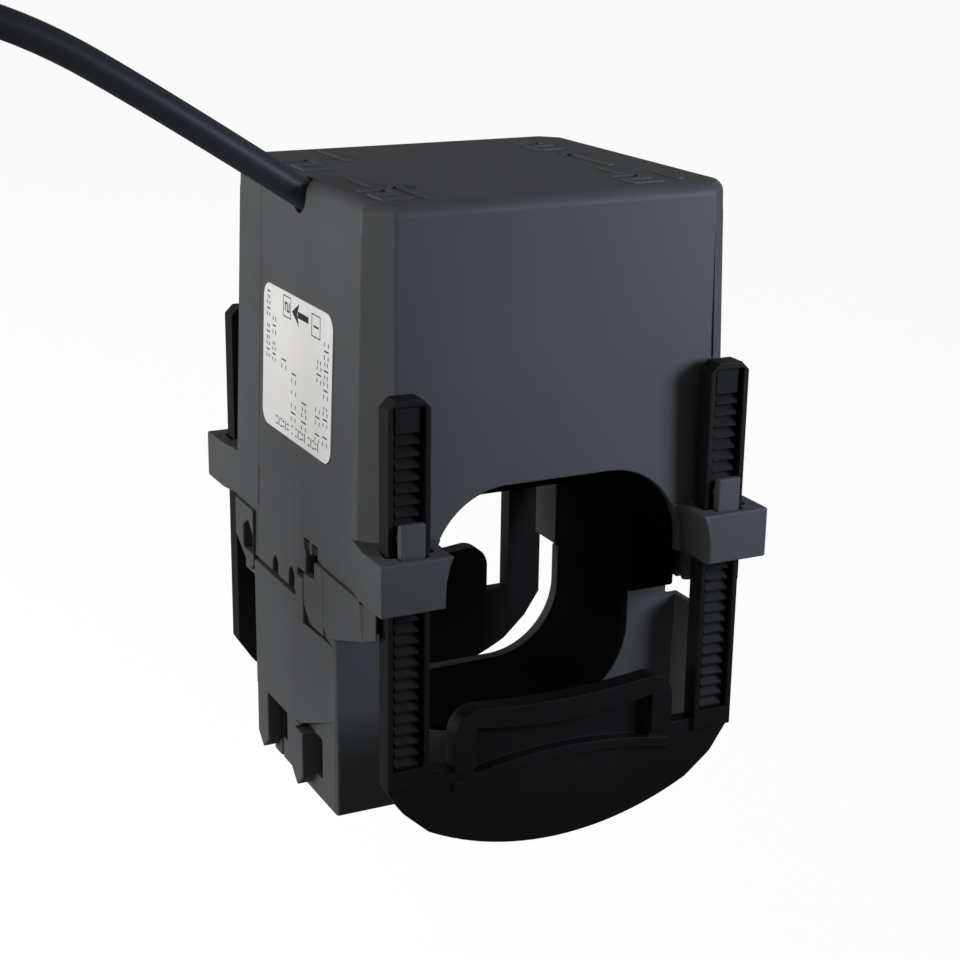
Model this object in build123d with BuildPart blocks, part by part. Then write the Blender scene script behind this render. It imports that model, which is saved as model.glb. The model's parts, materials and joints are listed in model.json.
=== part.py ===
"""Split-core current transformer for a round cable, with two ratchet clips.

The origin lies on the axis of the window, half way through the depth.  X runs to the
right seen from the front, Y to the back and Z up.  Millimetres.
"""
import os
from math import cos, pi, radians, sin, tan

from build123d import *

os.makedirs("parts", exist_ok=True)

# Window that the primary cable runs through
window_half = 21.2
window_top = 22.6
window_bottom = -22.6
window_corner = 12.5

# Strip-wound core, cut below the parting plane, and its winding
core_thickness = 6.0
core_half_depth = 8.4
core_gap = 0.1
core_bend = 1.0
core_clearance = 0.2
yoke_rise = 21.6
former_wall = 1.2
former_side_gap = 1.0
former_round = 0.4
flange = 1.4
winding_build = 9.0
flange_lip = 1.6
tape = 0.4
headroom = 4.3

# Window liners and the collars around the core legs
liner = 1.2
liner_back = 8.0
collar_half_depth = 16.5
collar_wall = 1.2
collar_round = 1.0
collar_drop = 3.6

# Upper casing
parting = 7.9
body_half_depth = 30.4
body_draft = 1.88
corner_x = 4.95
corner_y = 4.95
corner_round = 2.0
top_round = 2.2
wall = 2.0
seam_y = 15.0
front_lip = 1.8

# Skirts that hang below the parting plane at the two sides
skirt_drop = 8.0
skirt_thickness = 1.8
skirt_clearance = 0.15
skirt_front = -6.5
skirt_back = 21.7
rear_flap_drop = 4.9
rear_tab_width = 4.9
rear_tab_drop = 4.0
front_notches = ((6.7, 2.4, 3.1), (-0.5, 2.4, 3.7))
rear_notch = (5.0, 5.6)
rear_notch_inset = 3.3
notch_shoulder = 0.7
groove_radius = 1.2
groove_height = 2.0
groove_inset = 4.9
groove_pitch = 3.3
tongue_drop = 4.5
tongue_depth = 3.2
tongue_room = 0.8
seam_mark_width = 1.2
seam_mark_height = 6.5
seam_mark_rise = 1.4

# Guard plates under the ears
guard_setback = 5.1
guard_rear_setback = 11.2
guard_lap = 1.5
guard_inset = 0.2
guard_bevel = 2.1
guard_deep = 11.0
guard_shallow = 5.5
guard_thickness = 1.4
guard_taper = 1.2
guard_corner = 1.6

# Ears that carry the clips
ear_overhang = 0.85
ear_wall = 1.35
ear_side = 2.3
ear_height = 8.0
ear_relief = 1.2
ear_root = 7.0

# Clips
clip_clearance = 0.6
arm_width = 6.8
arm_depth = 3.3
arm_top = 38.9
arm_corner = 1.4
arm_wall = 0.9
arm_floor = 1.4
channel_end = 1.1
rack_top = 34.0
rack_bottom = -18.4
rack_groove = 0.5
tooth_pitch = 1.8
tooth_height = 1.2
tooth_crest = 0.3
tooth_lead = 0.2
plate_top = -19.7
plate_shoulder = -21.5
cheek_inset = 3.0
cheek_height = -26.0
jaw_inset = 7.3
jaw_height = -30.0
plate_lowest = -36.0
plate_bend = -26.5
plate_thickness = 2.6
plate_edge = 1.3
saddle_gap = 4.3
saddle_band = 3.7
saddle_top = -10.1
saddle_dip = 1.5
saddle_foot = 0.6
saddle_corner = 4.0
saddle_web = 1.0
ledge_drop = 0.1
ledge_sag = 2.3
ledge_height = 1.7
ledge_proud = 0.5
sliding_gap = 0.3

# Pawls in the ears
pawl_width = 4.0
pawl_thickness = 1.5
pawl_rise = 4.9
pawl_tooth = 0.5
pawl_tooth_rise = 1.2
pawl_crest = 0.6
pawl_tip_length = 1.4
pawl_lean = 0.3
pawl_foot = 1.2
pawl_play = 0.6
pawl_seat = 0.5

# Lower casing
leg_wall = 1.3
lower_front = 14.0
lower_wall = 1.4
lower_round = 0.6
spring_space = 3.6
cover_thickness = 1.6
joint_gap = 0.4
panel_front = -2.0
panel_back = 15.5
panel_lift = 12.2
prong_lift = 1.2
prong_width = 4.8
prong_front = -5.3
prong_back = 15.3
prong_point = 2.2
prong_root = 0.4
slot_width = 2.5
slot_height = 7.0
slot_drop = 1.4
wing_drop = 4.1
wing_lift = 11.4
wing_fall = 1.9
wing_rise = 5.2
rail_reach = 6.5
rail_offset = 0.9
rail_thickness = 1.4
flare_width = 3.7
flare_rise = 0.9

# Springs under the lower core
spring_thickness = 0.3
spring_length = 16.0
spring_width = 8.0
spring_x = 12.0

# Secondary cable
cable_diameter = 4.6
cable_climb = 33.5
cable_y = -1.0
cable_drop = 2.2
cable_inset = 0.43
cable_rise = 25.4
gland_wall = 0.3
gland_inside = 6.0
gland_recess = 1.7
gland_fit = 0.15
gland_lip = 0.2
coil_mean_radius = 24.0
coil_turns = 2
tail_length = 16.0
wire_diameter = 1.9
wire_length = 16.0
wire_offset = 1.3
ferrule_diameter = 1.5
ferrule_length = 8.0

# Rating label on the left side
label_y = (-16.2, 12.6)
label_z = (24.4, 47.4)
label_thickness = 0.25
label_round = 2.5

# Widths, from the window outwards
core_inner = window_half + liner + core_clearance
core_outer = core_inner + core_thickness
leg_middle = (core_inner + core_outer) / 2
leg_hole = core_thickness + 2 * core_clearance
leg_hole_depth = 2 * (core_half_depth + core_clearance)
collar_outer = core_outer + core_clearance + collar_wall
skirt_inner = collar_outer + skirt_clearance
body_half_width = skirt_inner + skirt_thickness
lower_half_width = core_outer + core_clearance + leg_wall
ear_half_width = body_half_width + ear_overhang
guard_outer = ear_half_width - guard_inset
panel_outer = guard_outer
arm_outer = ear_half_width - ear_side - sliding_gap
arm_inner = arm_outer - arm_width
arm_middle = (arm_inner + arm_outer) / 2
plate_half = arm_outer
saddle_half = arm_inner - saddle_gap
former_half = core_inner - former_side_gap

# Depths, from the casing outwards
lower_back = core_half_depth + core_clearance + cover_thickness
lower_depth = lower_front + lower_back
clip_back = body_half_depth + clip_clearance
clip_front = clip_back + arm_depth
channel_floor = clip_back + arm_floor
pawl_tip = channel_floor + tooth_height + sliding_gap / 2
pawl_face = pawl_tip + pawl_tooth
pawl_outer = pawl_face + pawl_thickness
pocket_outer = pawl_outer + pawl_play
ear_half_depth = pocket_outer + ear_wall
guard_front = ear_half_depth - guard_setback
guard_rear = ear_half_depth - guard_rear_setback
guard_back = collar_half_depth - guard_lap

# Heights
skirt_bottom = parting - skirt_drop
core_cut = skirt_bottom - collar_drop
yoke_middle = window_top + yoke_rise
winding_outside = former_wall + winding_build
body_top = (yoke_middle + core_thickness / 2 + core_clearance + winding_outside + flange_lip
            + headroom + wall)
core_low = window_bottom - liner - core_clearance - core_thickness
lower_bottom = core_low - spring_space - lower_wall
panel_bottom = lower_bottom + panel_lift
prong_tip = lower_bottom + prong_lift
wing_bottom = lower_bottom + wing_lift
wing_top = skirt_bottom - wing_drop
tongue_top = parting - tongue_drop
tongue_back = skirt_front + tongue_depth

draft_slope = tan(radians(body_draft))
beyond = 2 * (ear_half_width + ear_half_depth)
edge_slack = 0.01


def half_width_at(height):
    """Half width of the upper casing at a height, with its draft."""
    return body_half_width - (height - parting) * draft_slope


def half_depth_at(height):
    """Half depth of the upper casing at a height, with its draft."""
    return body_half_depth - (height - parting) * draft_slope


def facing(side, distance):
    """Plane square to Y, so far out on one side: -1 is the front and 1 the back."""
    return Plane(origin=(0, side * distance, 0), x_dir=(-side, 0, 0), z_dir=(0, side, 0))


def polygon(points):
    """Face with straight sides, in the open sketch."""
    with BuildLine() as line:
        Polyline(*points, close=True)
    make_face(line.line.edges())


def body_outline(height, inset=0.0):
    """Plan of the casing at a height: a rectangle with its corners cut and softened."""
    half_w = half_width_at(height) - inset
    half_d = half_depth_at(height) - inset
    points = []
    for sx, sy in ((1, 1), (-1, 1), (-1, -1), (1, -1)):
        on_side = (sx * half_w, sy * (half_d - corner_y))
        on_front = (sx * (half_w - corner_x), sy * half_d)
        points += [on_side, on_front] if sx * sy > 0 else [on_front, on_side]
    with BuildLine() as line:
        FilletPolyline(*points, radius=corner_round, close=True)
    make_face(line.line.edges())


def upper_window(grow=0.0, low=skirt_bottom - 1):
    """Window arch above the parting plane, open downwards."""
    half = window_half + grow
    top = window_top + grow
    with BuildLine() as line:
        arch = FilletPolyline(
            (half, low), (half, top), (-half, top), (-half, low), radius=window_corner + grow
        )
        Line(arch @ 1, arch @ 0)
    make_face(line.line.edges())


def lower_window(grow=0.0, top=parting):
    """Trough of the window below the parting plane, open upwards."""
    half = window_half + grow
    low = window_bottom - grow
    with BuildLine() as line:
        trough = FilletPolyline(
            (-half, top), (-half, low), (half, low), (half, top), radius=window_corner + grow
        )
        Line(trough @ 1, trough @ 0)
    make_face(line.line.edges())


def leg_holes():
    """Openings for the two core legs, in plan."""
    with Locations((leg_middle, 0), (-leg_middle, 0)):
        Rectangle(leg_hole, leg_hole_depth)


# Space inside the upper casing, around the tunnel of the window
with BuildPart() as cavity:
    with BuildSketch(Plane.XY.offset(parting + wall)):
        body_outline(parting + wall, wall)
    extrude(amount=body_top - parting - 2 * wall, taper=body_draft)
    with BuildSketch(facing(1, 0)):
        upper_window(liner)
    extrude(amount=beyond, both=True, mode=Mode.SUBTRACT)

# Pawls that stand up out of the ears and catch the teeth of the clips
pawl_root = parting + pawl_foot
pawl_top = parting + ear_height + pawl_rise
crest_top = pawl_top - pawl_tip_length
with BuildPart() as pawls:
    for x in (-arm_middle, arm_middle):
        with BuildSketch(Plane.YZ.offset(x)):
            for side in (-1, 1):
                polygon([
                    (side * pawl_face, pawl_root),
                    (side * pawl_face, crest_top - pawl_tooth_rise - pawl_crest),
                    (side * pawl_tip, crest_top - pawl_tooth_rise),
                    (side * pawl_tip, crest_top - pawl_crest),
                    (side * pawl_face, crest_top),
                    (side * (pawl_face + pawl_lean), pawl_top),
                    (side * pawl_outer, pawl_top),
                    (side * pawl_outer, pawl_root + pawl_thickness),
                    (side * (pocket_outer + pawl_seat), pawl_root + pawl_thickness),
                    (side * (pocket_outer + pawl_seat), pawl_root),
                ])
        extrude(amount=pawl_width / 2, both=True)

# Both upper shells in one, before they are parted at the seam
with BuildPart() as casing:
    with BuildSketch(Plane.XY.offset(skirt_bottom)):
        body_outline(skirt_bottom)
    extrude(amount=body_top - skirt_bottom, taper=body_draft)
    fillet(casing.edges().group_by(Axis.Z)[-1], top_round)
    with BuildSketch(Plane.XY.offset(skirt_bottom)):
        Rectangle(2 * skirt_inner, beyond)
        with Locations((0, skirt_front - beyond / 2)):
            Rectangle(beyond, beyond)
        with Locations((0, half_depth_at(parting) - corner_y + beyond / 2)):
            Rectangle(beyond, beyond)
    extrude(amount=parting - skirt_bottom, mode=Mode.SUBTRACT)
    with BuildSketch(Plane.XY.offset(skirt_bottom)):
        with Locations((0, skirt_back + beyond / 2)):
            Rectangle(beyond, beyond)
    extrude(amount=skirt_drop - rear_flap_drop, mode=Mode.SUBTRACT)
    # Ears
    with BuildSketch(Plane.XY.offset(parting)):
        for side in (-1, 1):
            root_y = side * (body_half_depth - ear_root)
            root_x = half_width_at(parting + ear_height)
            polygon([
                (ear_half_width, side * ear_half_depth),
                (ear_half_width, side * body_half_depth),
                (root_x, root_y),
                (-root_x, root_y),
                (-ear_half_width, side * body_half_depth),
                (-ear_half_width, side * ear_half_depth),
            ])
    extrude(amount=ear_height)
    # Room between the ears, and the window itself
    for side in (-1, 1):
        with BuildSketch(facing(side, body_half_depth)):
            upper_window(ear_relief)
        extrude(amount=ear_half_depth, mode=Mode.SUBTRACT)
    with BuildSketch(facing(1, 0)):
        upper_window()
    extrude(amount=beyond, both=True, mode=Mode.SUBTRACT)
    with BuildSketch(facing(-1, -liner_back)):
        upper_window(liner)
    extrude(amount=liner_back + body_half_depth - front_lip, mode=Mode.SUBTRACT)
    add(cavity.part, mode=Mode.SUBTRACT)
    with BuildSketch(Plane.XY.offset(skirt_bottom)):
        leg_holes()
    extrude(amount=parting + wall - skirt_bottom, mode=Mode.SUBTRACT)
    # Slots for the clip arms and pockets for the pawls
    with BuildSketch(Plane.XY.offset(parting)):
        for side in (-1, 1):
            slot_outer = clip_front + sliding_gap
            for x in (-arm_middle, arm_middle):
                with Locations((x, side * (clip_back + arm_depth / 2))):
                    Rectangle(arm_width + 2 * sliding_gap, arm_depth + 2 * sliding_gap)
                with Locations((x, side * (slot_outer + pocket_outer) / 2)):
                    Rectangle(pawl_width + 2 * sliding_gap, pocket_outer - slot_outer)
    extrude(amount=ear_height, mode=Mode.SUBTRACT)
    add(pawls.part)
    # Guard plates under the ears, deep next to the legs and shallow at the outer ends
    for side, guard_start, guard_end in ((-1, guard_back, guard_front), (1, panel_back + sliding_gap, guard_rear)):
        for sx in (-1, 1):
            with BuildSketch(Plane.YZ.offset(sx * (guard_outer - guard_thickness))):
                polygon([
                    (side * guard_start, parting),
                    (side * guard_end, parting),
                    (side * guard_end, parting - guard_shallow),
                    (side * (guard_start + guard_corner), parting - guard_deep),
                    (side * guard_start, parting - guard_deep + guard_corner),
                ])
            extrude(amount=sx * guard_thickness)
            with BuildSketch(Plane.XY.offset(parting - guard_deep)):
                polygon([
                    (sx * guard_outer, side * (guard_end - guard_bevel)),
                    (sx * guard_outer, side * guard_end),
                    (sx * (guard_outer - guard_taper), side * guard_end),
                ])
            extrude(amount=guard_deep, mode=Mode.SUBTRACT)

cable_axis = Vector(-cos(radians(cable_climb)), 0, sin(radians(cable_climb)))
cable_z = body_top - cable_drop
hole_centre = Vector(cable_inset - half_width_at(cable_z), cable_y, cable_z)
hole_start = hole_centre - cable_axis * (gland_inside + wall)
gland_diameter = cable_diameter + 2 * gland_wall


def skirt_notches(places):
    """Catch openings in the lower edge of the skirts, pointed at the top."""
    for y, width, height in places:
        polygon([
            (y - width / 2, skirt_bottom),
            (y + width / 2, skirt_bottom),
            (y + width / 2, skirt_bottom + height * notch_shoulder),
            (y, skirt_bottom + height),
            (y - width / 2, skirt_bottom + height * notch_shoulder),
        ])


# Front shell, with the cable hole at the top of its left side
with BuildPart() as upper_housing:
    add(casing.part)
    split(bisect_by=Plane.XZ.offset(-seam_y), keep=Keep.TOP)
    with BuildSketch(Plane.YZ):
        skirt_notches(front_notches)
        polygon([
            (skirt_front - sliding_gap, skirt_bottom),
            (tongue_back + joint_gap, skirt_bottom),
            (tongue_back + joint_gap, tongue_top + tongue_room),
            (skirt_front - sliding_gap, tongue_top + tongue_room),
        ])
    extrude(amount=beyond, both=True, mode=Mode.SUBTRACT)
    with BuildSketch(Plane(origin=hole_start, x_dir=(0, 1, 0), z_dir=cable_axis)):
        Circle(gland_diameter / 2 + gland_fit)
    extrude(amount=beyond, mode=Mode.SUBTRACT)
    with BuildSketch(Plane.XY.offset(parting)):
        for x in (-half_width_at(parting), half_width_at(parting)):
            for y in (groove_inset - guard_back, groove_inset + groove_pitch - guard_back):
                with Locations((x, y)):
                    Circle(groove_radius)
    extrude(amount=groove_height, mode=Mode.SUBTRACT)
    with BuildSketch(Plane.XY.offset(parting + seam_mark_rise)):
        for x in (-half_width_at(parting), half_width_at(parting)):
            with Locations((x, seam_y)):
                Rectangle(seam_mark_width, seam_mark_width)
    extrude(amount=seam_mark_height, mode=Mode.SUBTRACT)
upper_housing.part.label = "upper_housing"
export_step(upper_housing.part, "parts/upper_housing.step")

# Rear shell, with a tab below its skirt at each side
with BuildPart() as rear_cover:
    add(casing.part)
    split(bisect_by=Plane.XZ.offset(-seam_y), keep=Keep.BOTTOM)
    with BuildSketch(Plane.XY.offset(skirt_bottom - rear_tab_drop)):
        for sx in (-1, 1):
            tab_x = skirt_inner + skirt_thickness / 2
            with Locations((sx * tab_x, skirt_back - rear_tab_width / 2)):
                Rectangle(skirt_thickness, rear_tab_width)
    extrude(amount=rear_tab_drop + skirt_drop - rear_flap_drop)
    with BuildSketch(Plane.YZ):
        skirt_notches(((skirt_back - rear_notch_inset, *rear_notch),))
    extrude(amount=beyond, both=True, mode=Mode.SUBTRACT)
rear_cover.part.label = "rear_cover"
export_step(rear_cover.part, "parts/rear_cover.step")

# Black liner of the upper window, one moulding with the collars around the core legs
with BuildPart() as upper_liner:
    with BuildSketch(facing(-1, -liner_back)):
        upper_window(liner, low=parting)
    extrude(amount=liner_back + body_half_depth - front_lip)
    with BuildSketch(Plane.XY.offset(core_cut)):
        RectangleRounded(2 * collar_outer, 2 * collar_half_depth, collar_round)
    extrude(amount=parting - core_cut)
    with BuildSketch(facing(1, 0)):
        upper_window(low=core_cut - 1)
    extrude(amount=beyond, both=True, mode=Mode.SUBTRACT)
    with BuildSketch(Plane.XY.offset(core_cut)):
        leg_holes()
    extrude(amount=parting - core_cut, mode=Mode.SUBTRACT)
upper_liner.part.label = "upper_liner"
export_step(upper_liner.part, "parts/upper_liner.step")

# Strip-wound core, parted into an upper and a lower half
core_top = yoke_middle + core_thickness / 2
with BuildPart() as core:
    with BuildSketch(facing(-1, -core_half_depth)):
        with Locations((0, (core_top + core_low) / 2)):
            RectangleRounded(2 * core_outer, core_top - core_low, core_thickness + core_bend)
            RectangleRounded(
                2 * core_inner, core_top - core_low - 2 * core_thickness,
                core_bend, mode=Mode.SUBTRACT,
            )
    extrude(amount=2 * core_half_depth)

with BuildPart() as upper_core:
    add(core.part)
    split(bisect_by=Plane.XY.offset(core_cut), keep=Keep.TOP)
upper_core.part.label = "upper_core"
export_step(upper_core.part, "parts/upper_core.step")

with BuildPart() as lower_core:
    add(core.part)
    split(bisect_by=Plane.XY.offset(core_cut - core_gap), keep=Keep.BOTTOM)
lower_core.part.label = "lower_core"
export_step(lower_core.part, "parts/lower_core.step")


def former_section(grow, mode=Mode.ADD):
    """Rounded rectangle around the yoke of the core, on a YZ plane."""
    half_y = core_half_depth + core_clearance + grow
    half_z = core_thickness / 2 + core_clearance + grow
    with Locations((0, yoke_middle)):
        RectangleRounded(2 * half_y, 2 * half_z, former_round + grow / 2, mode=mode)


winding_half = former_half - flange

# Coil former on the upper yoke of the core
with BuildPart() as coil_former:
    with BuildSketch(Plane.YZ):
        former_section(former_wall)
    extrude(amount=former_half, both=True)
    with BuildSketch(Plane.YZ.offset(-former_half), Plane.YZ.offset(winding_half)):
        former_section(winding_outside + flange_lip)
    extrude(amount=flange)
    with BuildSketch(Plane.YZ):
        former_section(0)
    extrude(amount=former_half, both=True, mode=Mode.SUBTRACT)
coil_former.part.label = "coil_former"
export_step(coil_former.part, "parts/coil_former.step")

# Copper winding and the tape over it
with BuildPart() as winding:
    with BuildSketch(Plane.YZ):
        former_section(winding_outside)
        former_section(former_wall, Mode.SUBTRACT)
    extrude(amount=winding_half, both=True)
winding.part.label = "winding"
export_step(winding.part, "parts/winding.step")

with BuildPart() as winding_tape:
    with BuildSketch(Plane.YZ):
        former_section(winding_outside + tape)
        former_section(winding_outside, Mode.SUBTRACT)
    extrude(amount=winding_half, both=True)
winding_tape.part.label = "winding_tape"
export_step(winding_tape.part, "parts/winding_tape.step")

# Lower casing: a trough with two hollow legs, latch panels and wings
leg_top = core_cut - core_gap
panel_top = skirt_bottom - joint_gap
with BuildPart() as lower_housing:
    with BuildSketch(Plane.XY.offset(lower_bottom)):
        with Locations((0, (lower_back - lower_front) / 2)):
            RectangleRounded(2 * lower_half_width, lower_depth, lower_round)
    extrude(amount=leg_top - lower_bottom)
    with BuildSketch(facing(-1, -lower_back)):
        with Locations((0, (leg_top + lower_bottom + lower_wall) / 2)):
            Rectangle(2 * (core_outer + core_clearance), leg_top - lower_bottom - lower_wall)
    extrude(amount=lower_depth - lower_wall, mode=Mode.SUBTRACT)
    with BuildSketch(facing(1, 0)):
        lower_window(liner)
    extrude(amount=beyond, both=True, mode=Mode.SUBTRACT)
    for sx in (-1, 1):
        # Latch panel with a tongue above and two prongs below
        with BuildSketch(Plane.YZ.offset(sx * lower_half_width)):
            polygon([
                (panel_back, panel_top),
                (tongue_back, panel_top),
                (tongue_back, tongue_top),
                (skirt_front, tongue_top),
                (skirt_front, wing_top),
                (panel_front, wing_top),
                (panel_front, panel_bottom),
                (panel_back, panel_bottom),
            ])
            for front in (prong_front, prong_back - prong_width):
                polygon([
                    (front, panel_bottom + prong_root),
                    (front, prong_tip + prong_point),
                    (front + prong_width / 2, prong_tip),
                    (front + prong_width, prong_tip + prong_point),
                    (front + prong_width, panel_bottom + prong_root),
                ])
        extrude(amount=sx * (panel_outer - lower_half_width))
        # Wing that slopes from the panel in to the front corner of the leg
        wing_end = lower_round - lower_front
        wing_root = lower_half_width - leg_wall / 2
        with BuildSketch(Plane.XY.offset(wing_bottom)):
            polygon([
                (sx * panel_outer, panel_front),
                (sx * lower_half_width, wing_end),
                (sx * wing_root, wing_end),
                (sx * wing_root, panel_front),
            ])
        extrude(amount=wing_top - wing_bottom)
        with BuildSketch(Plane.YZ.offset(sx * lower_half_width)):
            polygon([
                (wing_end, wing_top),
                (panel_front, wing_top),
                (wing_end, wing_top - wing_fall),
            ])
            polygon([
                (wing_end, wing_bottom),
                (panel_front, wing_bottom),
                (wing_end, wing_bottom + wing_rise),
            ])
        extrude(amount=sx * beyond, mode=Mode.SUBTRACT)
        # Slots in the side of the leg in front of each prong
        with BuildSketch(Plane.YZ.offset(sx * (core_outer + core_clearance))):
            for front in (prong_front, prong_back - prong_width):
                with Locations((front - slot_width / 2, panel_bottom - slot_drop - slot_height / 2)):
                    Rectangle(slot_width, slot_height)
        extrude(amount=sx * leg_wall, mode=Mode.SUBTRACT)
    # Rail along the front of the right leg, with the flared face beside it
    rail_inner = lower_half_width + rail_offset
    with BuildSketch(Plane.XY.offset(lower_bottom + lower_wall)):
        polygon([
            (rail_inner - flare_width, -lower_front),
            (rail_inner, -lower_front - flare_rise),
            (rail_inner, -lower_front - rail_reach),
            (rail_inner + rail_thickness, -lower_front - rail_reach),
            (rail_inner + rail_thickness, wing_end),
            (rail_inner - flare_width, wing_end),
        ])
    extrude(amount=wing_top - wing_fall - lower_bottom - lower_wall)
lower_housing.part.label = "lower_housing"
export_step(lower_housing.part, "parts/lower_housing.step")

# Closing plate at the back of the lower casing, with the grey rim of the trough
with BuildPart() as lower_cover:
    with BuildSketch(facing(-1, -lower_back)):
        with Locations((0, (leg_top + lower_bottom + lower_wall) / 2)):
            Rectangle(2 * (core_outer + core_clearance), leg_top - lower_bottom - lower_wall)
    extrude(amount=cover_thickness)
    with BuildSketch(facing(-1, -lower_back)):
        lower_window(liner, top=leg_top)
    extrude(amount=lower_back - liner_back)
    with BuildSketch(facing(1, 0)):
        lower_window()
    extrude(amount=beyond, both=True, mode=Mode.SUBTRACT)
lower_cover.part.label = "lower_cover"
export_step(lower_cover.part, "parts/lower_cover.step")

# Black liner of the trough
with BuildPart() as lower_liner:
    with BuildSketch(facing(-1, -liner_back)):
        lower_window(liner, top=leg_top)
    extrude(amount=liner_back + lower_front)
    with BuildSketch(facing(1, 0)):
        lower_window()
    extrude(amount=beyond, both=True, mode=Mode.SUBTRACT)
lower_liner.part.label = "lower_liner"
export_step(lower_liner.part, "parts/lower_liner.step")

# Leaf springs that press the lower core against the upper one
spring_floor = lower_bottom + lower_wall
spring_rise = core_low - spring_floor - spring_thickness
for name, x in (("core_spring_left", -spring_x), ("core_spring_right", spring_x)):
    with BuildPart() as spring:
        with BuildSketch(facing(-1, -spring_width / 2)):
            with BuildLine():
                lower_face = ThreePointArc(
                    (x - spring_length / 2, spring_floor),
                    (x, spring_floor + spring_rise),
                    (x + spring_length / 2, spring_floor),
                )
                upper_face = ThreePointArc(
                    (x - spring_length / 2, spring_floor + spring_thickness),
                    (x, spring_floor + spring_rise + spring_thickness),
                    (x + spring_length / 2, spring_floor + spring_thickness),
                )
                Line(lower_face @ 0, upper_face @ 0)
                Line(lower_face @ 1, upper_face @ 1)
            make_face()
        extrude(amount=spring_width)
    spring.part.label = name
    export_step(spring.part, f"parts/{name}.step")

# Clips: toothed arms, a curved plate and a saddle that presses on the cable
tooth_count = int((rack_top - rack_bottom) / tooth_pitch)
channel_half = arm_width / 2 - arm_wall
rack_half = channel_half - rack_groove
rack_crest = channel_floor + tooth_height
saddle_low = plate_top - saddle_foot
plate_front = clip_back + plate_thickness
ledge_half = saddle_half
plate_cheek = (plate_half - cheek_inset, cheek_height)
plate_jaw = (plate_half - jaw_inset, jaw_height)


def saddle_outline(half, top):
    """Arch with a dipped top, from the plate upwards."""
    with BuildLine() as line:
        Polyline((-half, top), (-half, saddle_low), (half, saddle_low), (half, top))
        ThreePointArc((half, top), (0, top - saddle_dip), (-half, top))
    make_face(line.line.edges())


def curved_band(half, low_middle, low_end, high_middle, high_end):
    """Strip between two arcs that are symmetric about the middle of the clip."""
    with BuildLine() as line:
        low = ThreePointArc((-half, low_end), (0, low_middle), (half, low_end))
        high = ThreePointArc((-half, high_end), (0, high_middle), (half, high_end))
        Line(low @ 0, high @ 0)
        Line(low @ 1, high @ 1)
    make_face(line.line.edges())


def clip(side):
    """One clip, on the front or on the back."""
    with BuildPart() as body:
        # Plate with its lower lip sloping back
        with BuildSketch(facing(side, clip_back)):
            with BuildLine() as line:
                Polyline(
                    (-plate_jaw[0], plate_jaw[1]), (-plate_cheek[0], plate_cheek[1]),
                    (-plate_half, plate_shoulder), (-plate_half, plate_top),
                    (plate_half, plate_top), (plate_half, plate_shoulder),
                    plate_cheek, plate_jaw,
                )
                ThreePointArc(plate_jaw, (0, plate_lowest), (-plate_jaw[0], plate_jaw[1]))
            make_face(line.line.edges())
        extrude(amount=plate_thickness)
        with BuildSketch(Plane.YZ):
            polygon([
                (side * plate_front, plate_bend),
                (side * plate_front, plate_lowest - plate_edge),
                (side * (clip_back + plate_edge), plate_lowest - plate_edge),
            ])
        extrude(amount=beyond, both=True, mode=Mode.SUBTRACT)
        # Arms
        with BuildSketch(facing(side, clip_back)):
            for x in (-arm_middle, arm_middle):
                with Locations((x, (arm_top + plate_shoulder) / 2)):
                    Rectangle(arm_width, arm_top - plate_shoulder)
        extrude(amount=arm_depth)
        chamfer(body.edges().filter_by(Axis.Y).group_by(Axis.Z)[-1], arm_corner)
        # Channel that the rack of teeth lies in
        channel_top = arm_top - channel_end
        with BuildSketch(facing(side, channel_floor)):
            for x in (-arm_middle, arm_middle):
                with Locations((x, (channel_top + rack_bottom) / 2)):
                    Rectangle(2 * channel_half, channel_top - rack_bottom)
        extrude(amount=arm_depth, mode=Mode.SUBTRACT)
        with BuildSketch(Plane.YZ.offset(arm_middle), Plane.YZ.offset(-arm_middle)):
            for i in range(tooth_count):
                foot = rack_bottom + i * tooth_pitch
                polygon([
                    (side * clip_back, foot),
                    (side * channel_floor, foot),
                    (side * rack_crest, foot + tooth_lead),
                    (side * rack_crest, foot + tooth_lead + tooth_crest),
                    (side * channel_floor, foot + tooth_pitch),
                    (side * clip_back, foot + tooth_pitch),
                ])
            smooth_low = rack_bottom + tooth_count * tooth_pitch
            polygon([
                (side * clip_back, smooth_low),
                (side * rack_crest, smooth_low),
                (side * rack_crest, channel_top),
                (side * clip_back, channel_top),
            ])
        extrude(amount=rack_half, both=True)
        # Saddle: a rim round a thin web, and a curved ledge for the fingers under it
        with BuildSketch(facing(side, clip_back)):
            saddle_outline(saddle_half, saddle_top)
        extrude(amount=arm_depth)
        rim_corners = [
            edge for edge in body.edges().filter_by(Axis.Y)
            if abs(abs(edge.center().X) - saddle_half) < edge_slack
            and abs(edge.center().Z - saddle_top) < edge_slack
        ]
        fillet(rim_corners, saddle_corner)
        ledge_top = plate_top - ledge_drop
        ledge_end = ledge_top - ledge_sag
        ledge_lap = ledge_height / 3
        recess_top = saddle_top - saddle_band
        with BuildSketch(facing(side, clip_back + saddle_web)):
            curved_band(
                saddle_half - saddle_band, ledge_top - ledge_lap, ledge_end - ledge_lap,
                recess_top - saddle_dip, recess_top,
            )
        extrude(amount=arm_depth, mode=Mode.SUBTRACT)
        with BuildSketch(facing(side, clip_back + saddle_web)):
            curved_band(
                ledge_half, ledge_top - ledge_height, ledge_end - ledge_height, ledge_top, ledge_end
            )
        extrude(amount=plate_thickness - saddle_web + ledge_proud)
    return body.part


for name, side in (("front_clip", -1), ("rear_clip", 1)):
    clip_part = clip(side)
    clip_part.label = name
    export_step(clip_part, f"parts/{name}.step")

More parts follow.
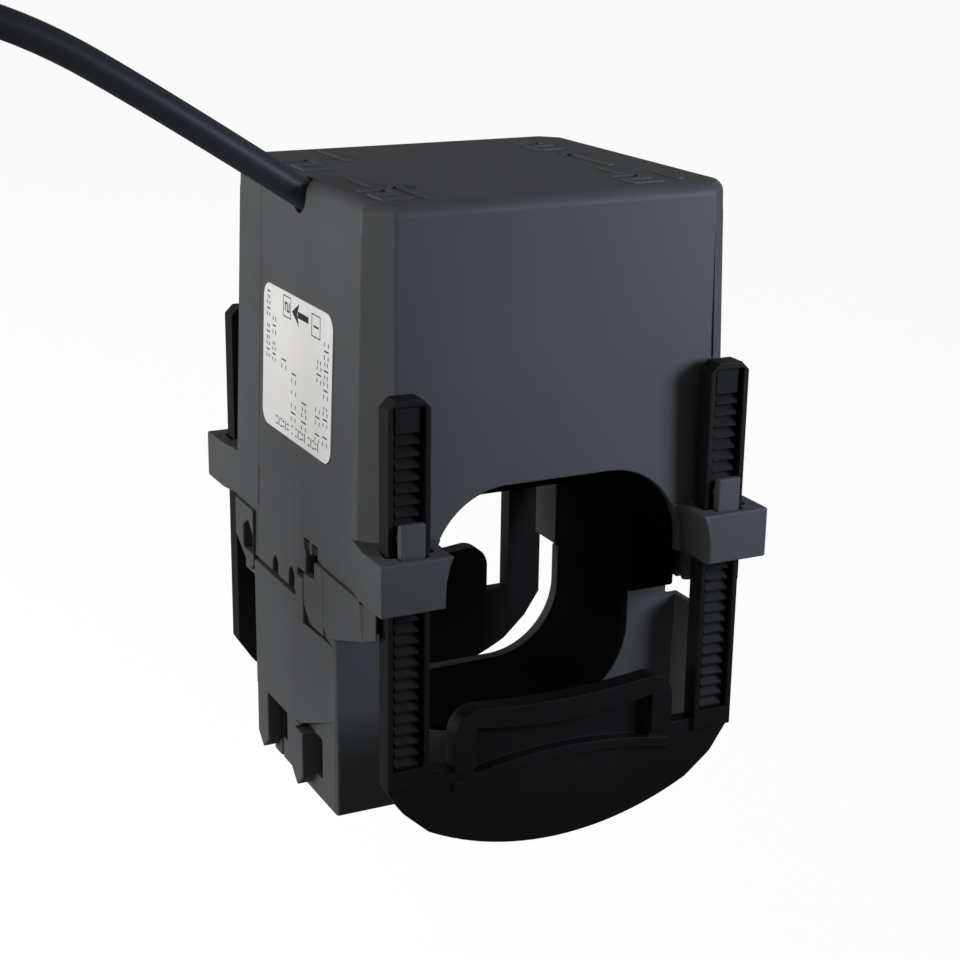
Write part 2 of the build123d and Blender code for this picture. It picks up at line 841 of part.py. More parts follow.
# Rating label on the left side
label_height = (label_z[0] + label_z[1]) / 2
label_plane = Plane(
    origin=(-half_width_at(label_height), (label_y[0] + label_y[1]) / 2, label_height),
    x_dir=(0, -1, 0),
    z_dir=(-cos(radians(body_draft)), 0, sin(radians(body_draft))),
)
with BuildPart() as rating_label:
    with BuildSketch(label_plane):
        RectangleRounded(label_y[1] - label_y[0], label_z[1] - label_z[0], label_round)
    extrude(amount=label_thickness)
rating_label.part.label = "rating_label"
export_step(rating_label.part, "parts/rating_label.step")

# Gland in the cable hole
with BuildPart() as cable_gland:
    with BuildSketch(Plane(origin=hole_centre - cable_axis * gland_inside, z_dir=cable_axis)):
        Circle(gland_diameter / 2)
    extrude(amount=gland_inside - gland_recess)
    chamfer(cable_gland.faces().sort_by(Axis((0, 0, 0), cable_axis))[-1].edges(), gland_lip)
cable_gland.part.label = "cable_gland"
export_step(cable_gland.part, "parts/cable_gland.step")

# Route of the cable, from the gland over a bend and down to the coil
cable_start = hole_centre - cable_axis * gland_recess
route = [
    cable_start,
    cable_start + cable_axis * cable_rise,
    Vector(-71.9, -1.4, 89.9),
    Vector(-93.4, -2.0, 94.6),
    Vector(-110.4, -2.4, 90.8),
    Vector(-122.8, -2.2, 79.2),
    Vector(-130.2, -1.6, 62.0),
    Vector(-133.2, -1.2, 41.5),
    Vector(-134.0, -1.0, 21.0),
]


def bend_radii(points):
    """Arc for each corner: 0.45 of the shorter run over the tangent of half the turn."""
    radii = []
    for before, corner, after in zip(points, points[1:], points[2:]):
        arriving = corner - before
        leaving = after - corner
        half_turn = radians(arriving.get_angle(leaving) / 2)
        radii.append(0.45 * min(arriving.length, leaving.length) / tan(half_turn))
    return radii


radii = bend_radii(route)
print("cable runs", [round((b - a).length, 1) for a, b in zip(route, route[1:])])
print("cable radii", [round(radius, 1) for radius in radii])

with BuildPart() as cable:
    with BuildLine() as cable_path:
        FilletPolyline(*route, radius=radii)
    with BuildSketch(Plane(origin=cable_path.line @ 0, z_dir=cable_path.line % 0)):
        Circle(cable_diameter / 2)
    sweep(path=cable_path.line)
tube_length = sum(edge.length for edge in cable_path.edges())
print("cable volume", cable.part.volume, "section times length", pi / 4 * cable_diameter ** 2 * tube_length)
print("cable length", tube_length + coil_turns * 2 * pi * coil_mean_radius + tail_length)
cable.part.label = "cable"
export_step(cable.part, "parts/cable.step")

# Coil of the length that is left over, its turns side by side
coil_entry = route[-1]
coil_depth = (coil_turns + 1) * cable_diameter
coil_centre = coil_entry + Vector(coil_mean_radius, coil_turns * cable_diameter / 2, 0)
with BuildPart() as cable_coil:
    with BuildSketch(Plane(origin=coil_centre, x_dir=(1, 0, 0), z_dir=(0, 0, 1))):
        with Locations((coil_mean_radius, 0)):
            RectangleRounded(cable_diameter, coil_depth, cable_diameter / 2 - 0.05)
    revolve(axis=Axis(coil_centre, (0, 1, 0)))
cable_coil.part.label = "cable_coil"
export_step(cable_coil.part, "parts/cable_coil.step")

# Stripped end that hangs from the coil
down = Vector(0, 0, -1)
tail_start = coil_entry + Vector(0, coil_turns * cable_diameter, 0)
with BuildPart() as cable_tail:
    with BuildSketch(Plane(origin=tail_start, x_dir=(1, 0, 0), z_dir=down)):
        Circle(cable_diameter / 2)
    extrude(amount=tail_length)
cable_tail.part.label = "cable_tail"
export_step(cable_tail.part, "parts/cable_tail.step")

for colour, sx in (("brown", -1), ("blue", 1)):
    wire_start = tail_start + down * tail_length + Vector(sx * wire_offset, 0, 0)
    with BuildPart() as wire:
        with BuildSketch(Plane(origin=wire_start, x_dir=(1, 0, 0), z_dir=down)):
            Circle(wire_diameter / 2)
        extrude(amount=wire_length)
    wire.part.label = f"wire_{colour}"
    export_step(wire.part, f"parts/wire_{colour}.step")
    with BuildPart() as ferrule:
        with BuildSketch(Plane(origin=wire_start + down * wire_length, x_dir=(1, 0, 0), z_dir=down)):
            Circle(ferrule_diameter / 2)
        extrude(amount=ferrule_length)
    ferrule.part.label = f"ferrule_{colour}"
    export_step(ferrule.part, f"parts/ferrule_{colour}.step")
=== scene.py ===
"""Looks of the split-core current transformer: edges, materials, print, lead, light and camera."""
import json
from math import cos, pi, radians, sin

import bmesh
import bpy
from mathutils import Matrix, Vector

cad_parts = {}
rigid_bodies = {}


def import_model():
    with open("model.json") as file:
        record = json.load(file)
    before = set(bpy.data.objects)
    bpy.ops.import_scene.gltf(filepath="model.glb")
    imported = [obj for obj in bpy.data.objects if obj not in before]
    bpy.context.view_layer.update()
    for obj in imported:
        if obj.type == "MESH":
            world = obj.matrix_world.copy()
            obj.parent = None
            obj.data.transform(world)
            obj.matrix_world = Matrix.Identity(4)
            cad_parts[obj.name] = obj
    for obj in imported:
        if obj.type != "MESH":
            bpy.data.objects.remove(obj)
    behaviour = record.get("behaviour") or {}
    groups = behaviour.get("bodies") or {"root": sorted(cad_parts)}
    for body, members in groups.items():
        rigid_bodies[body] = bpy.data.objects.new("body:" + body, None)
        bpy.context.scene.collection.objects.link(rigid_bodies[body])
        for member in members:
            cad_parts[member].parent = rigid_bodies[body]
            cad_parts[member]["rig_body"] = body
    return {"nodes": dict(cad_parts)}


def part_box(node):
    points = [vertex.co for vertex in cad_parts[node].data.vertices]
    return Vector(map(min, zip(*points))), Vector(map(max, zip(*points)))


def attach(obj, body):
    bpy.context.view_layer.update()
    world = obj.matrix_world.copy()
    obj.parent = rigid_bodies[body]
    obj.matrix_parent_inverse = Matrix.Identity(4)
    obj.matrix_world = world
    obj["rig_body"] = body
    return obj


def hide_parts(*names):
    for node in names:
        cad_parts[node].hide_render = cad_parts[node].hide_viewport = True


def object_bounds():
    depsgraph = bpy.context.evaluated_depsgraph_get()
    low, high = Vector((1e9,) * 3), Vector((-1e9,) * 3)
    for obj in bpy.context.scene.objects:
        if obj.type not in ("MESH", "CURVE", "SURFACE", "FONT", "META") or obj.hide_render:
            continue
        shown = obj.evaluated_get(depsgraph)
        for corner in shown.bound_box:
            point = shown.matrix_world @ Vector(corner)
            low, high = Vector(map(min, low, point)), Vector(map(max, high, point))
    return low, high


MM = 0.001
PHOTO_WIDTH = 960

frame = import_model()
cad_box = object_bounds()
nodes = frame["nodes"]


def new_object(name, data):
    """Object of a mesh, curve, lamp or camera, linked to the scene."""
    made = bpy.data.objects.new(name, data)
    bpy.context.scene.collection.objects.link(made)
    return made


# Materials

NOISE_LOW = 0.3
NOISE_HIGH = 0.7
CLOUDS_PER_METRE = 45
MOULDED_GLOSS = 0.04
SMUDGES_PER_METRE = 300
LAYERED_GLOSS = 0.08
LAYER_DEPTH = 0.2
# Blender's wave texture turns through 20 radians in a metre at scale 1
WAVE_RADIANS = 20


def node_tree(name):
    """New material with its nodes and links; it starts with a principled shader."""
    material = bpy.data.materials.new(name)
    material.use_nodes = True
    return material, material.node_tree.nodes, material.node_tree.links


def object_coordinates(tree_nodes):
    """Place of a point in its object, in metres."""
    return tree_nodes.new("ShaderNodeTexCoord").outputs["Object"]


def noise(tree_nodes, links, vector, scale):
    """Soft noise; the scale is about the number of its clouds in a metre."""
    texture = tree_nodes.new("ShaderNodeTexNoise")
    texture.inputs["Scale"].default_value = scale
    texture.inputs["Detail"].default_value = 3.0
    links.new(vector, texture.inputs["Vector"])
    return texture.outputs["Fac"]


def spread(tree_nodes, links, value, low, high):
    """Maps the middle of a noise onto a range of values."""
    remap = tree_nodes.new("ShaderNodeMapRange")
    remap.inputs["From Min"].default_value = NOISE_LOW
    remap.inputs["From Max"].default_value = NOISE_HIGH
    remap.inputs["To Min"].default_value = low
    remap.inputs["To Max"].default_value = high
    links.new(value, remap.inputs["Value"])
    return remap.outputs["Result"]


def mixed(tree_nodes, links, factor, dark, light):
    """Colour between two, by a factor."""
    tones = tree_nodes.new("ShaderNodeMix")
    tones.data_type = "RGBA"
    tones.inputs["A"].default_value = [*dark, 1]
    tones.inputs["B"].default_value = [*light, 1]
    links.new(factor, tones.inputs["Factor"])
    return tones.outputs["Result"]


def bumped(tree_nodes, links, height, strength, distance):
    """Normal of a surface that a height raises by a distance."""
    bump = tree_nodes.new("ShaderNodeBump")
    bump.inputs["Strength"].default_value = strength
    bump.inputs["Distance"].default_value = distance
    links.new(height, bump.inputs["Height"])
    return bump.outputs["Normal"]


def moulded(name, colour, roughness, grain=2600, depth=0.02, mottle=0.06, specular=0.3):
    """Moulded plastic: fine spark-eroded grain, faint cloudiness and uneven gloss; depth in mm."""
    material, tree_nodes, links = node_tree(name)
    shader = tree_nodes["Principled BSDF"]
    shader.inputs["Specular IOR Level"].default_value = specular
    vector = object_coordinates(tree_nodes)
    fine = noise(tree_nodes, links, vector, grain)
    cloud = noise(tree_nodes, links, vector, CLOUDS_PER_METRE)
    dark = [c * (1 - mottle) for c in colour]
    light = [c * (1 + mottle) for c in colour]
    tones = mixed(tree_nodes, links, spread(tree_nodes, links, cloud, 0, 1), dark, light)
    gloss = spread(tree_nodes, links, cloud, roughness - MOULDED_GLOSS, roughness + MOULDED_GLOSS)
    links.new(tones, shader.inputs["Base Color"])
    links.new(gloss, shader.inputs["Roughness"])
    normal = bumped(tree_nodes, links, fine, strength=0.5, distance=depth * MM)
    links.new(normal, shader.inputs["Normal"])
    return material


def layered(name, dark, light, pitch, direction, roughness):
    """Wound or stacked metal: fine parallel layers one pitch apart, in metres."""
    material, tree_nodes, links = node_tree(name)
    shader = tree_nodes["Principled BSDF"]
    shader.inputs["Metallic"].default_value = 1.0
    vector = object_coordinates(tree_nodes)
    wave = tree_nodes.new("ShaderNodeTexWave")
    wave.bands_direction = direction
    wave.inputs["Scale"].default_value = 2 * pi / (WAVE_RADIANS * pitch)
    wave.inputs["Distortion"].default_value = 0.4
    links.new(vector, wave.inputs["Vector"])
    layers = wave.outputs["Fac"]
    smudges = noise(tree_nodes, links, vector, SMUDGES_PER_METRE)
    gloss = spread(tree_nodes, links, smudges, roughness - LAYERED_GLOSS, roughness + LAYERED_GLOSS)
    links.new(mixed(tree_nodes, links, layers, dark, light), shader.inputs["Base Color"])
    links.new(gloss, shader.inputs["Roughness"])
    normal = bumped(tree_nodes, links, layers, strength=0.6, distance=pitch * LAYER_DEPTH)
    links.new(normal, shader.inputs["Normal"])
    return material


SLATE = (0.080, 0.083, 0.087)
housing_plastic = moulded("housing_plastic", SLATE, 0.55)
clip_nylon = moulded(
    "clip_nylon", (0.0085, 0.0085, 0.0085), 0.5, grain=1800, depth=0.03, mottle=0.2, specular=0.2,
)
liner_plastic = moulded("liner_plastic", (0.0015, 0.0015, 0.0016), 0.7, specular=0.05)
former_plastic = moulded("former_plastic", (0.62, 0.58, 0.48), 0.5)
label_film = moulded("label_film", (0.90, 0.885, 0.875), 0.45, grain=900, depth=0.004, mottle=0.02)
print_ink = moulded("print_ink", (0.02, 0.02, 0.02), 0.6, mottle=0.3)
gland_rubber = moulded("gland_rubber", (0.030, 0.033, 0.037), 0.6, specular=0.2)
sheath = moulded("sheath", (0.034, 0.038, 0.046), 0.45, grain=1500, depth=0.015)
brown_insulation = moulded("brown_insulation", (0.16, 0.07, 0.03), 0.4)
blue_insulation = moulded("blue_insulation", (0.03, 0.09, 0.35), 0.4)
polyester_tape = moulded("polyester_tape", (0.72, 0.55, 0.12), 0.3, mottle=0.12)
strip_steel = layered("strip_steel", (0.22, 0.22, 0.23), (0.5, 0.51, 0.53), 0.00035, "X", 0.4)
copper_wire = layered("copper_wire", (0.4, 0.16, 0.06), (0.8, 0.4, 0.2), 0.0008, "X", 0.35)
spring_steel = layered("spring_steel", (0.45, 0.45, 0.46), (0.6, 0.6, 0.61), 0.0002, "Y", 0.3)
tinned = layered("tinned", (0.6, 0.6, 0.59), (0.75, 0.75, 0.74), 0.0004, "Z", 0.3)


# Rounded edges on the moulded pieces

SHARP = radians(26)
FLAT = radians(0.3)
WELD = 0.002 * MM
TINY = 0.001 * MM
# Stretch of a face that a rounding needs free, from its edge inwards, in radii
ROOM_FROM = 0.01
ROOM_TO = 2.4


def crosses(start, end, first, second, normal):
    """Whether two segments in a plane cross."""
    def side(a, b, c):
        return (b - a).cross(c - a).dot(normal)
    return (side(start, end, first) * side(start, end, second) < 0
            and side(first, second, start) * side(first, second, end) < 0)


def has_room(edge, sharp, radius):
    """Whether both faces of an edge are wide enough there for a rounding."""
    middle = (edge.verts[0].co + edge.verts[1].co) / 2
    along = (edge.verts[1].co - edge.verts[0].co).normalized()
    for face in edge.link_faces:
        inward = face.normal.cross(along)
        loop = next(loop for loop in face.loops if loop.edge == edge)
        if (loop.link_loop_next.vert.co - loop.vert.co).dot(along) < 0:
            inward = -inward
        start = middle + inward * radius * ROOM_FROM
        end = middle + inward * radius * ROOM_TO
        for other in face.edges:
            if other is not edge and other in sharp:
                if crosses(start, end, other.verts[0].co, other.verts[1].co, face.normal):
                    return False
    return True


def rounded_copy(node, radius):
    """Mesh of a CAD piece with its flat faces whole again and its sharp edges rounded."""
    mesh = nodes[node].data.copy()
    work = bmesh.new()
    work.from_mesh(mesh)
    bmesh.ops.remove_doubles(work, verts=work.verts, dist=WELD)
    bmesh.ops.dissolve_limit(work, angle_limit=FLAT, verts=work.verts, edges=work.edges)
    sharp = {edge for edge in work.edges if edge.is_manifold and edge.calc_face_angle() > SHARP}
    roomy = [edge for edge in work.edges if edge in sharp and has_room(edge, sharp, radius)]
    bmesh.ops.bevel(
        work, geom=roomy, offset=radius, offset_type="OFFSET", segments=3, profile=0.5,
        affect="EDGES", clamp_overlap=False, miter_outer="ARC",
    )
    bmesh.ops.dissolve_degenerate(work, edges=work.edges, dist=TINY)
    for edge in work.edges:
        edge.smooth = not edge.is_manifold or edge.calc_face_angle() < SHARP
    work.to_mesh(mesh)
    work.free()
    mesh.materials.clear()
    return mesh


def dress(node, material, radius):
    """Piece that stands for a CAD node, with its edges rounded by a small radius."""
    piece = new_object(f"{node}_moulding", rounded_copy(node, radius))
    piece.data.materials.append(material)
    for face in piece.data.polygons:
        face.use_smooth = True
    flatten = piece.modifiers.new("flat_faces", "WEIGHTED_NORMAL")
    flatten.mode = "FACE_AREA"
    flatten.weight = 100
    flatten.keep_sharp = True
    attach(piece, nodes[node]["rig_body"])
    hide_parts(node)
    return piece


def second_material_beyond(piece, material, depth):
    """Gives a piece a second material behind a depth along Y; in front of it the piece keeps its own."""
    work = bmesh.new()
    work.from_mesh(piece.data)
    bmesh.ops.bisect_plane(
        work, geom=[*work.verts, *work.edges, *work.faces], dist=TINY,
        plane_co=(0, depth, 0), plane_no=(0, 1, 0),
    )
    for face in work.faces:
        if face.calc_center_median().y > depth:
            face.material_index = 1
    work.to_mesh(piece.data)
    work.free()
    piece.data.materials.append(material)


def repaint(node, material):
    """Gives a CAD piece that stays as it is a better material."""
    nodes[node].data.materials.clear()
    nodes[node].data.materials.append(material)


# Depth along Y up to which the window's liners stay black; behind it they take the casing's grey
LINER_BLACK_TO = 9.1 * MM
# Nodes that a rounded piece stands for: material, slot and rounding in millimetres
DRESSING = {
    "upper_housing": (housing_plastic, "housing", 0.35),
    "rear_cover": (housing_plastic, "housing", 0.35),
    "lower_housing": (housing_plastic, "housing", 0.3),
    "lower_cover": (housing_plastic, "housing", 0.3),
    "front_clip": (clip_nylon, "clip", 0.15),
    "rear_clip": (clip_nylon, "clip", 0.15),
    "upper_liner": (liner_plastic, "liner", 0.25),
    "lower_liner": (liner_plastic, "liner", 0.25),
    "rating_label": (label_film, "label", 0.05),
    "coil_former": (former_plastic, "former", 0.2),
    "cable_gland": (gland_rubber, "gland", 0.2),
}
PAINT = {
    "upper_core": strip_steel, "lower_core": strip_steel,
    "core_spring_left": spring_steel, "core_spring_right": spring_steel,
    "ferrule_brown": tinned, "ferrule_blue": tinned,
    "winding": copper_wire, "winding_tape": polyester_tape,
    "wire_brown": brown_insulation, "wire_blue": blue_insulation,
}

for node, (material, slot, rounding) in DRESSING.items():
    dressed = dress(node, material, rounding * MM)
    if slot == "liner":
        second_material_beyond(dressed, housing_plastic, LINER_BLACK_TO)
for node, material in PAINT.items():
    repaint(node, material)


# Flat marks: print on the label and raised marks on the top

def mark_mesh(name, shapes, placing, height):
    """One mesh of prisms that stand on a plane; shapes are outlines in millimetres on it."""
    work = bmesh.new()
    for outline in shapes:
        low = [work.verts.new(placing @ Vector((x * MM, y * MM, 0))) for x, y in outline]
        high = [work.verts.new(placing @ Vector((x * MM, y * MM, height))) for x, y in outline]
        work.faces.new(high)
        work.faces.new(low[::-1])
        for i in range(len(outline)):
            j = (i + 1) % len(outline)
            work.faces.new((low[i], low[j], high[j], high[i]))
    mesh = bpy.data.meshes.new(name)
    work.to_mesh(mesh)
    work.free()
    return new_object(name, mesh)


def bar(x0, y0, x1, y1):
    """Rectangle between two corners."""
    return [(x0, y0), (x1, y0), (x1, y1), (x0, y1)]


def hollow_box(x0, y0, x1, y1, line):
    """Four bars round a rectangle."""
    return [
        bar(x0, y0, x1, y0 + line), bar(x0, y1 - line, x1, y1),
        bar(x0, y0 + line, x0 + line, y1 - line), bar(x1 - line, y0 + line, x1, y1 - line),
    ]


def arrow(x, tail, tip, line, head):
    """Arrow that points up the sheet; the shares of its swept head are of the head's length."""
    half, notch, shaft = head * 0.6, head * 0.7, head * 0.8
    return [
        bar(x - line / 2, tail, x + line / 2, tip - shaft),
        [(x - half, tip - head), (x, tip - notch), (x + half, tip - head), (x, tip)],
    ]


def quarter_turn(shapes):
    """The same outlines turned a quarter to the left about the origin."""
    return [[(-y, x) for x, y in outline] for outline in shapes]


DIGITS = {"1": ["i"], "2": ["a", "b", "g", "e", "d"]}


def digit(figure, x, y, width, height, line, turned=False):
    """Plain figure made of bars, upright or turned a quarter to the left."""
    low = height / 2 - line / 2
    high = height / 2 + line / 2
    strokes = {
        "a": (0, height - line, width, height), "g": (0, low, width, high), "d": (0, 0, width, line),
        "b": (width - line, high, width, height - line), "e": (0, line, line, low),
        "i": (width / 2 - line / 2, 0, width / 2 + line / 2, height),
    }
    shapes = []
    for name in DIGITS[figure]:
        x0, y0, x1, y1 = strokes[name]
        if turned:
            x0, y0, x1, y1 = height - y1, x0, height - y0, x1
        shapes.append(bar(x + x0, y + y0, x + x1, y + y1))
    return shapes


# Lines of print: foot of the line, its start, lengths of its words, its height
LINES_UP = (
    (11.5, -0.5, (5.8, 4.6), 1.3), (8.9, -0.6, (3.4, 3.2), 1.3), (4.2, -0.9, (2.2,), 2.0),
    (-0.1, -8.4, (3.2,), 1.9), (-0.1, -4.1, (0.9, 2.3), 1.9), (-4.5, -8.7, (5.0,), 1.9),
    (-10.0, -8.9, (1.6, 3.0), 1.8), (-10.3, 0.3, (3.8,), 1.8), (-13.0, -8.9, (2.1, 3.4, 9.0), 1.7),
)
LINES_ACROSS = ((-10.5, -8.2, (5.8, 0.8, 4.4, 4.6), 1.4),)
BAR_PITCH = 0.95
BAR_SHARE = 0.66
BAR_INSET = 0.2
BAR_LIFT = 0.12
WORD_GAP = 0.9
STROKE = 0.24
BOXES = ((-5.8, 7.5, -2.5, 10.9), (6.1, 6.9, 9.6, 10.4))
BOX_LINE = 0.16
BOXED_NUMERALS = (("2", -5.1, 8.4), ("1", 6.9, 7.8))
BOXED_SIZE = (1.5, 2.0)
BOXED_STROKE = 0.3
LABEL_ARROW = (8.9, -4.8, 2.0, 1.0, 3.0)
LABEL_TILT = radians(1.88)
LABEL_LIFT = 0.13 * MM
PRINT_HEIGHT = 0.02 * MM


def print_line(low, start, words, height):
    """Stand-in for print: pairs of short flat bars, with an upright bar at every third place."""
    outlines = []
    for word in words:
        count = max(1, round(word / BAR_PITCH))
        pitch = word / count
        for i in range(count):
            left = start + i * pitch
            right = left + pitch * BAR_SHARE
            if i % 3 == 1:
                left += pitch * BAR_INSET
                outlines.append(bar(left, low, left + STROKE, low + height))
            else:
                lift = height * BAR_LIFT * (i % 2)
                outlines.append(bar(left, low + lift, right, low + lift + STROKE))
                outlines.append(bar(left, low + height - STROKE - lift, right, low + height - lift))
        start += word + WORD_GAP
    return outlines


def label_plane():
    """Placing of the label's face, which leans with the casing's side."""
    low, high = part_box("rating_label")
    right = Vector((0, -1, 0))
    up = Vector((sin(LABEL_TILT), 0, cos(LABEL_TILT)))
    out = Vector((-cos(LABEL_TILT), 0, sin(LABEL_TILT)))
    face = (low + high) / 2 + out * LABEL_LIFT
    return Matrix.Translation(face) @ Matrix((right, up, out)).transposed().to_4x4()


def print_label():
    """Two boxed numerals, the arrow between them and rows of bars."""
    shapes = []
    for corners in BOXES:
        shapes += hollow_box(*corners, BOX_LINE)
    for figure, across, up in BOXED_NUMERALS:
        shapes += digit(figure, across, up, *BOXED_SIZE, BOXED_STROKE, turned=True)
    shapes += quarter_turn(arrow(*LABEL_ARROW))
    for line in LINES_UP:
        shapes += quarter_turn(print_line(*line))
    for line in LINES_ACROSS:
        shapes += print_line(*line)
    label_print = mark_mesh("label_print", shapes, label_plane(), PRINT_HEIGHT)
    label_print.data.materials.append(print_ink)
    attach(label_print, "casing")


# Numerals on the top: figure, left, front, width, height and line
TOP_NUMERALS = (
    ("2", -27.0, 4.5, 5.5, 11.0, 1.0), ("1", -18.0, 12.0, 3.0, 12.0, 1.0),
    ("1", -25.5, -13.5, 4.0, 8.0, 0.9), ("2", -27.0, -25.0, 5.0, 9.0, 1.0),
    ("2", 17.0, 10.5, 5.0, 9.0, 1.0), ("1", 15.5, -16.5, 3.0, 7.0, 0.9),
    ("2", 14.0, -25.5, 5.0, 7.5, 0.9), ("1", 21.5, -24.0, 3.0, 8.0, 0.9),
)
TOP_ARROWS = ((-20.0, -25.0, -12.0, 1.0, 4.0), (20.0, -8.0, 8.0, 1.0, 4.5))
RAISED_BY = 0.3 * MM
SUNK_BY = 0.02 * MM


def raise_marks():
    """Moulded numerals and arrows that stand on the casing's top."""
    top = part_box("upper_housing")[1].z
    shapes = []
    for numeral in TOP_NUMERALS:
        shapes += digit(*numeral)
    for place in TOP_ARROWS:
        shapes += arrow(*place)
    raised_marks = mark_mesh("raised_marks", shapes, Matrix.Translation((0, 0, top - SUNK_BY)), RAISED_BY)
    raised_marks.data.materials.append(housing_plastic)
    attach(raised_marks, "casing")


print_label()
raise_marks()


# Thin walls that carry on from the guard plates and from the sides of the lower casing

GUARD_RETURN = [
    (-15.1, -3.1), (-9.5, -3.1), (-6.9, -0.6), (-6.9, 4.6), (-11.5, 5.0), (-11.5, 7.9), (-15.1, 7.9),
]
GUARD_INSIDE = 31.2
GUARD_THICKNESS = 1.4
LEG_RETURN = [(10.7, -35.0), (14.0, -35.0), (14.0, -3.9), (10.1, -3.9), (10.1, -23.5), (10.7, -23.5)]
LEG_INSIDE = 28.8
LEG_THICKNESS = 1.3
WALL_ROUNDING = 0.25 * MM
ALONG_X = Matrix(((0, 1, 0), (0, 0, 1), (1, 0, 0))).transposed().to_4x4()


def side_walls(name, outline, inside, thickness, body):
    """Pair of upright plates, left and right; the outline is in millimetres along Y and Z."""
    for side, start in (("left", -inside - thickness), ("right", inside)):
        placing = Matrix.Translation((start * MM, 0, 0)) @ ALONG_X
        wall = mark_mesh(f"{name}_{side}", [outline], placing, thickness * MM)
        wall.data.materials.append(housing_plastic)
        rounding = wall.modifiers.new("rounding", "BEVEL")
        rounding.width = WALL_ROUNDING
        rounding.segments = 3
        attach(wall, body)


side_walls("guard_return", GUARD_RETURN, GUARD_INSIDE, GUARD_THICKNESS, "casing")
side_walls("leg_return", LEG_RETURN, LEG_INSIDE, LEG_THICKNESS, "lower_half")


# Secondary lead

CABLE = 4.6 * MM
COIL_RADIUS = 24.0 * MM
COIL_TURNS = 2
POINTS_PER_TURN = 20
TAIL = 16.0 * MM
route = [
    (-0.028284, -0.0010, 0.062362), (-0.049465, -0.0010, 0.076381), (-0.0719, -0.0014, 0.0899),
    (-0.0934, -0.0020, 0.0946), (-0.1104, -0.0024, 0.0908), (-0.1228, -0.0022, 0.0792),
    (-0.1302, -0.0016, 0.0620), (-0.1332, -0.0012, 0.0415), (-0.1340, -0.0010, 0.0210),
]


def lead_points():
    """The route's points, then the turns of the coil and the end that hangs from it."""
    entry = Vector(route[-1])
    centre = entry + Vector((COIL_RADIUS, 0, 0))
    reach = COIL_RADIUS / cos(pi / POINTS_PER_TURN)
    points = list(route)
    for i in range(1, COIL_TURNS * POINTS_PER_TURN):
        turned = i / POINTS_PER_TURN
        angle = pi + 2 * pi * turned
        across = centre.x + reach * cos(angle)
        up = centre.z + reach * sin(angle)
        points.append((across, entry.y + CABLE * turned, up))
    leaving = entry + Vector((0, CABLE * COIL_TURNS, 0))
    points += [tuple(leaving), tuple(leaving - Vector((0, 0, TAIL)))]
    return points


def lead_curve(points):
    """Round sheath along a smooth line."""
    curve = bpy.data.curves.new("secondary_lead", "CURVE")
    curve.dimensions = "3D"
    curve.bevel_depth = CABLE / 2
    curve.bevel_resolution = 6
    curve.use_fill_caps = True
    spline = curve.splines.new("NURBS")
    spline.points.add(len(points) - 1)
    for spline_point, place in zip(spline.points, points):
        spline_point.co = (*place, 1)
    spline.order_u = 3
    spline.use_endpoint_u = True
    spline.resolution_u = 8
    return curve


curve = lead_curve(lead_points())
curve.materials.append(sheath)
lead = new_object("secondary_lead", curve)
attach(lead, "casing")
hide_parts("cable", "cable_coil", "cable_tail")


# Floor and world

FLOOR_DROP = 0.09
HALF_FLOOR = 6
FLOOR_COLOUR = 0.25
FLOOR_SEEN = 0.9
AMBIENT = 0.17


def white_to_camera(name, lit, strength):
    """Matt surface that the camera sees near white, with its shadows kept."""
    material, tree_nodes, links = node_tree(name)
    shader = tree_nodes["Principled BSDF"]
    shader.inputs["Base Color"].default_value = (lit, lit, lit, 1)
    shader.inputs["Roughness"].default_value = 0.9
    shader.inputs["Specular IOR Level"].default_value = 0
    shader.inputs["Emission Color"].default_value = (1, 1, 1, 1)
    path = tree_nodes.new("ShaderNodeLightPath")
    scale = tree_nodes.new("ShaderNodeMath")
    scale.operation = "MULTIPLY"
    scale.inputs[1].default_value = strength
    links.new(path.outputs["Is Camera Ray"], scale.inputs[0])
    links.new(scale.outputs["Value"], shader.inputs["Emission Strength"])
    return material


def pale_floor():
    """Square floor some way below the object, which hangs."""
    height = cad_box[0][2] - FLOOR_DROP
    corners = [(-1, -1), (1, -1), (1, 1), (-1, 1)]
    mesh = bpy.data.meshes.new("floor")
    mesh.from_pydata([(x * HALF_FLOOR, y * HALF_FLOOR, height) for x, y in corners], [], [(0, 1, 2, 3)])
    mesh.materials.append(white_to_camera("floor_white", FLOOR_COLOUR, FLOOR_SEEN))
    new_object("floor", mesh)


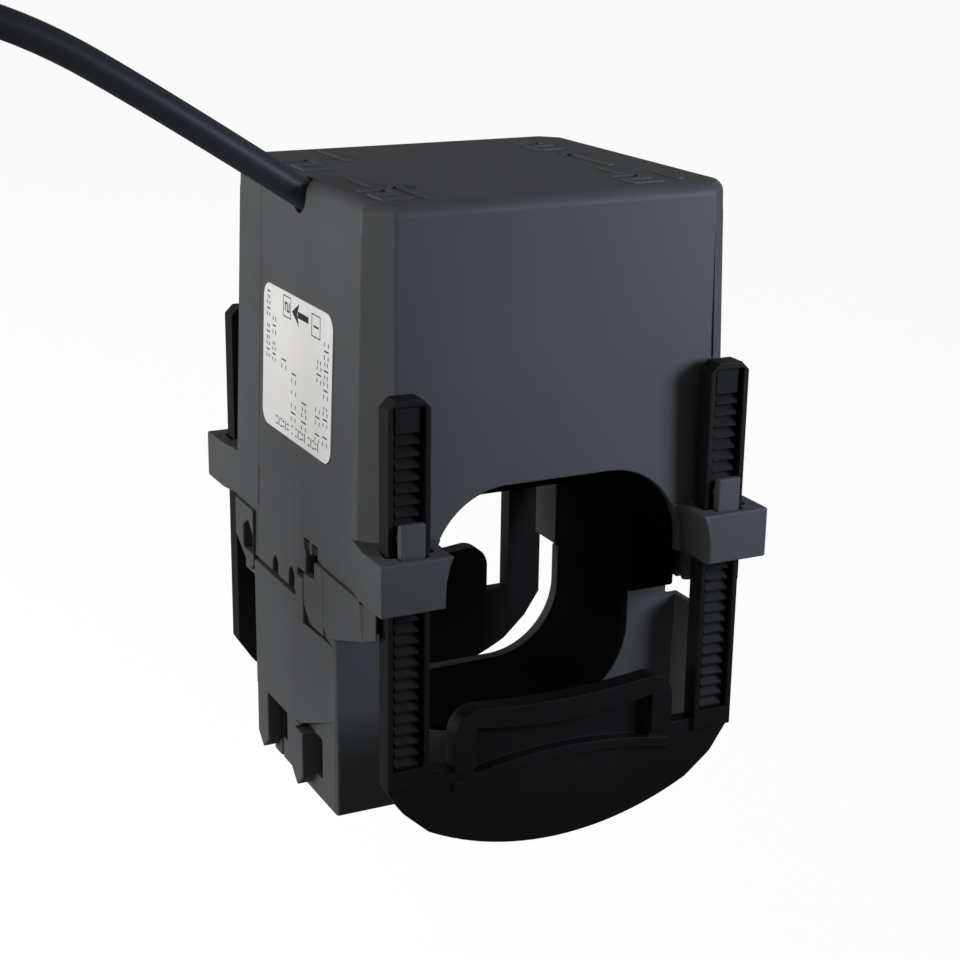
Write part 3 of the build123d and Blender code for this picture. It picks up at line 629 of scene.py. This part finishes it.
def white_world():
    """World that lights faintly and looks white to the camera."""
    world = bpy.data.worlds.new("studio")
    bpy.context.scene.world = world
    world.use_nodes = True
    tree_nodes, links = world.node_tree.nodes, world.node_tree.links
    background = tree_nodes["Background"]
    background.inputs["Color"].default_value = (1, 1, 1, 1)
    path = tree_nodes.new("ShaderNodeLightPath")
    seen = tree_nodes.new("ShaderNodeMapRange")
    seen.inputs["To Min"].default_value = AMBIENT
    seen.inputs["To Max"].default_value = 1.0
    links.new(path.outputs["Is Camera Ray"], seen.inputs["Value"])
    links.new(seen.outputs["Result"], background.inputs["Strength"])


pale_floor()
white_world()


# Lamps and camera

KEY_COLOUR = (1.0, 1.0, 0.99)
FRONT_COLOUR = (0.80, 0.86, 1.0)


def area_light(name, place, target, size, power, colour, beam=180):
    """Soft square lamp that faces a point; its beam may be narrowed."""
    lamp = bpy.data.lights.new(name, "AREA")
    lamp.size = size
    lamp.energy = power
    lamp.color = colour
    lamp.spread = radians(beam)
    holder = new_object(name, lamp)
    holder.location = place
    holder.rotation_euler = (Vector(target) - Vector(place)).to_track_quat("-Z", "Y").to_euler()


area_light("key_left", (-1.25, 0.50, 0.25), (0, 0, 0.02), size=1.0, power=10.6, colour=KEY_COLOUR)
area_light("low_left", (-1.40, 0.05, 0.06), (0, 0, 0), size=0.6, power=9.6, colour=KEY_COLOUR)
area_light(
    "front_right", (0.18, -0.20, 0.10), (0.033, -0.02, 0.038), size=0.10, power=0.066,
    colour=FRONT_COLOUR, beam=56,
)

CAMERA_PLACE = (-0.13554, -0.27227, 0.11092)
CAMERA_TURN = (72.528, -0.497, -25.572)
FOCAL_PIXELS = 1932.9
PRINCIPAL_POINT = (447.35, 470.69)
SENSOR = 36


def photo_camera():
    """Camera at the place that the photograph was taken from."""
    data = bpy.data.cameras.new("photo_camera")
    data.sensor_width = SENSOR
    data.lens = SENSOR * FOCAL_PIXELS / PHOTO_WIDTH
    data.shift_x = (PHOTO_WIDTH / 2 - PRINCIPAL_POINT[0]) / PHOTO_WIDTH
    data.shift_y = (PRINCIPAL_POINT[1] - PHOTO_WIDTH / 2) / PHOTO_WIDTH
    data.clip_start = 0.01
    camera = new_object("photo_camera", data)
    camera.location = CAMERA_PLACE
    camera.rotation_euler = [radians(angle) for angle in CAMERA_TURN]
    bpy.context.scene.camera = camera


photo_camera()
bpy.context.scene.view_settings.view_transform = "Standard"
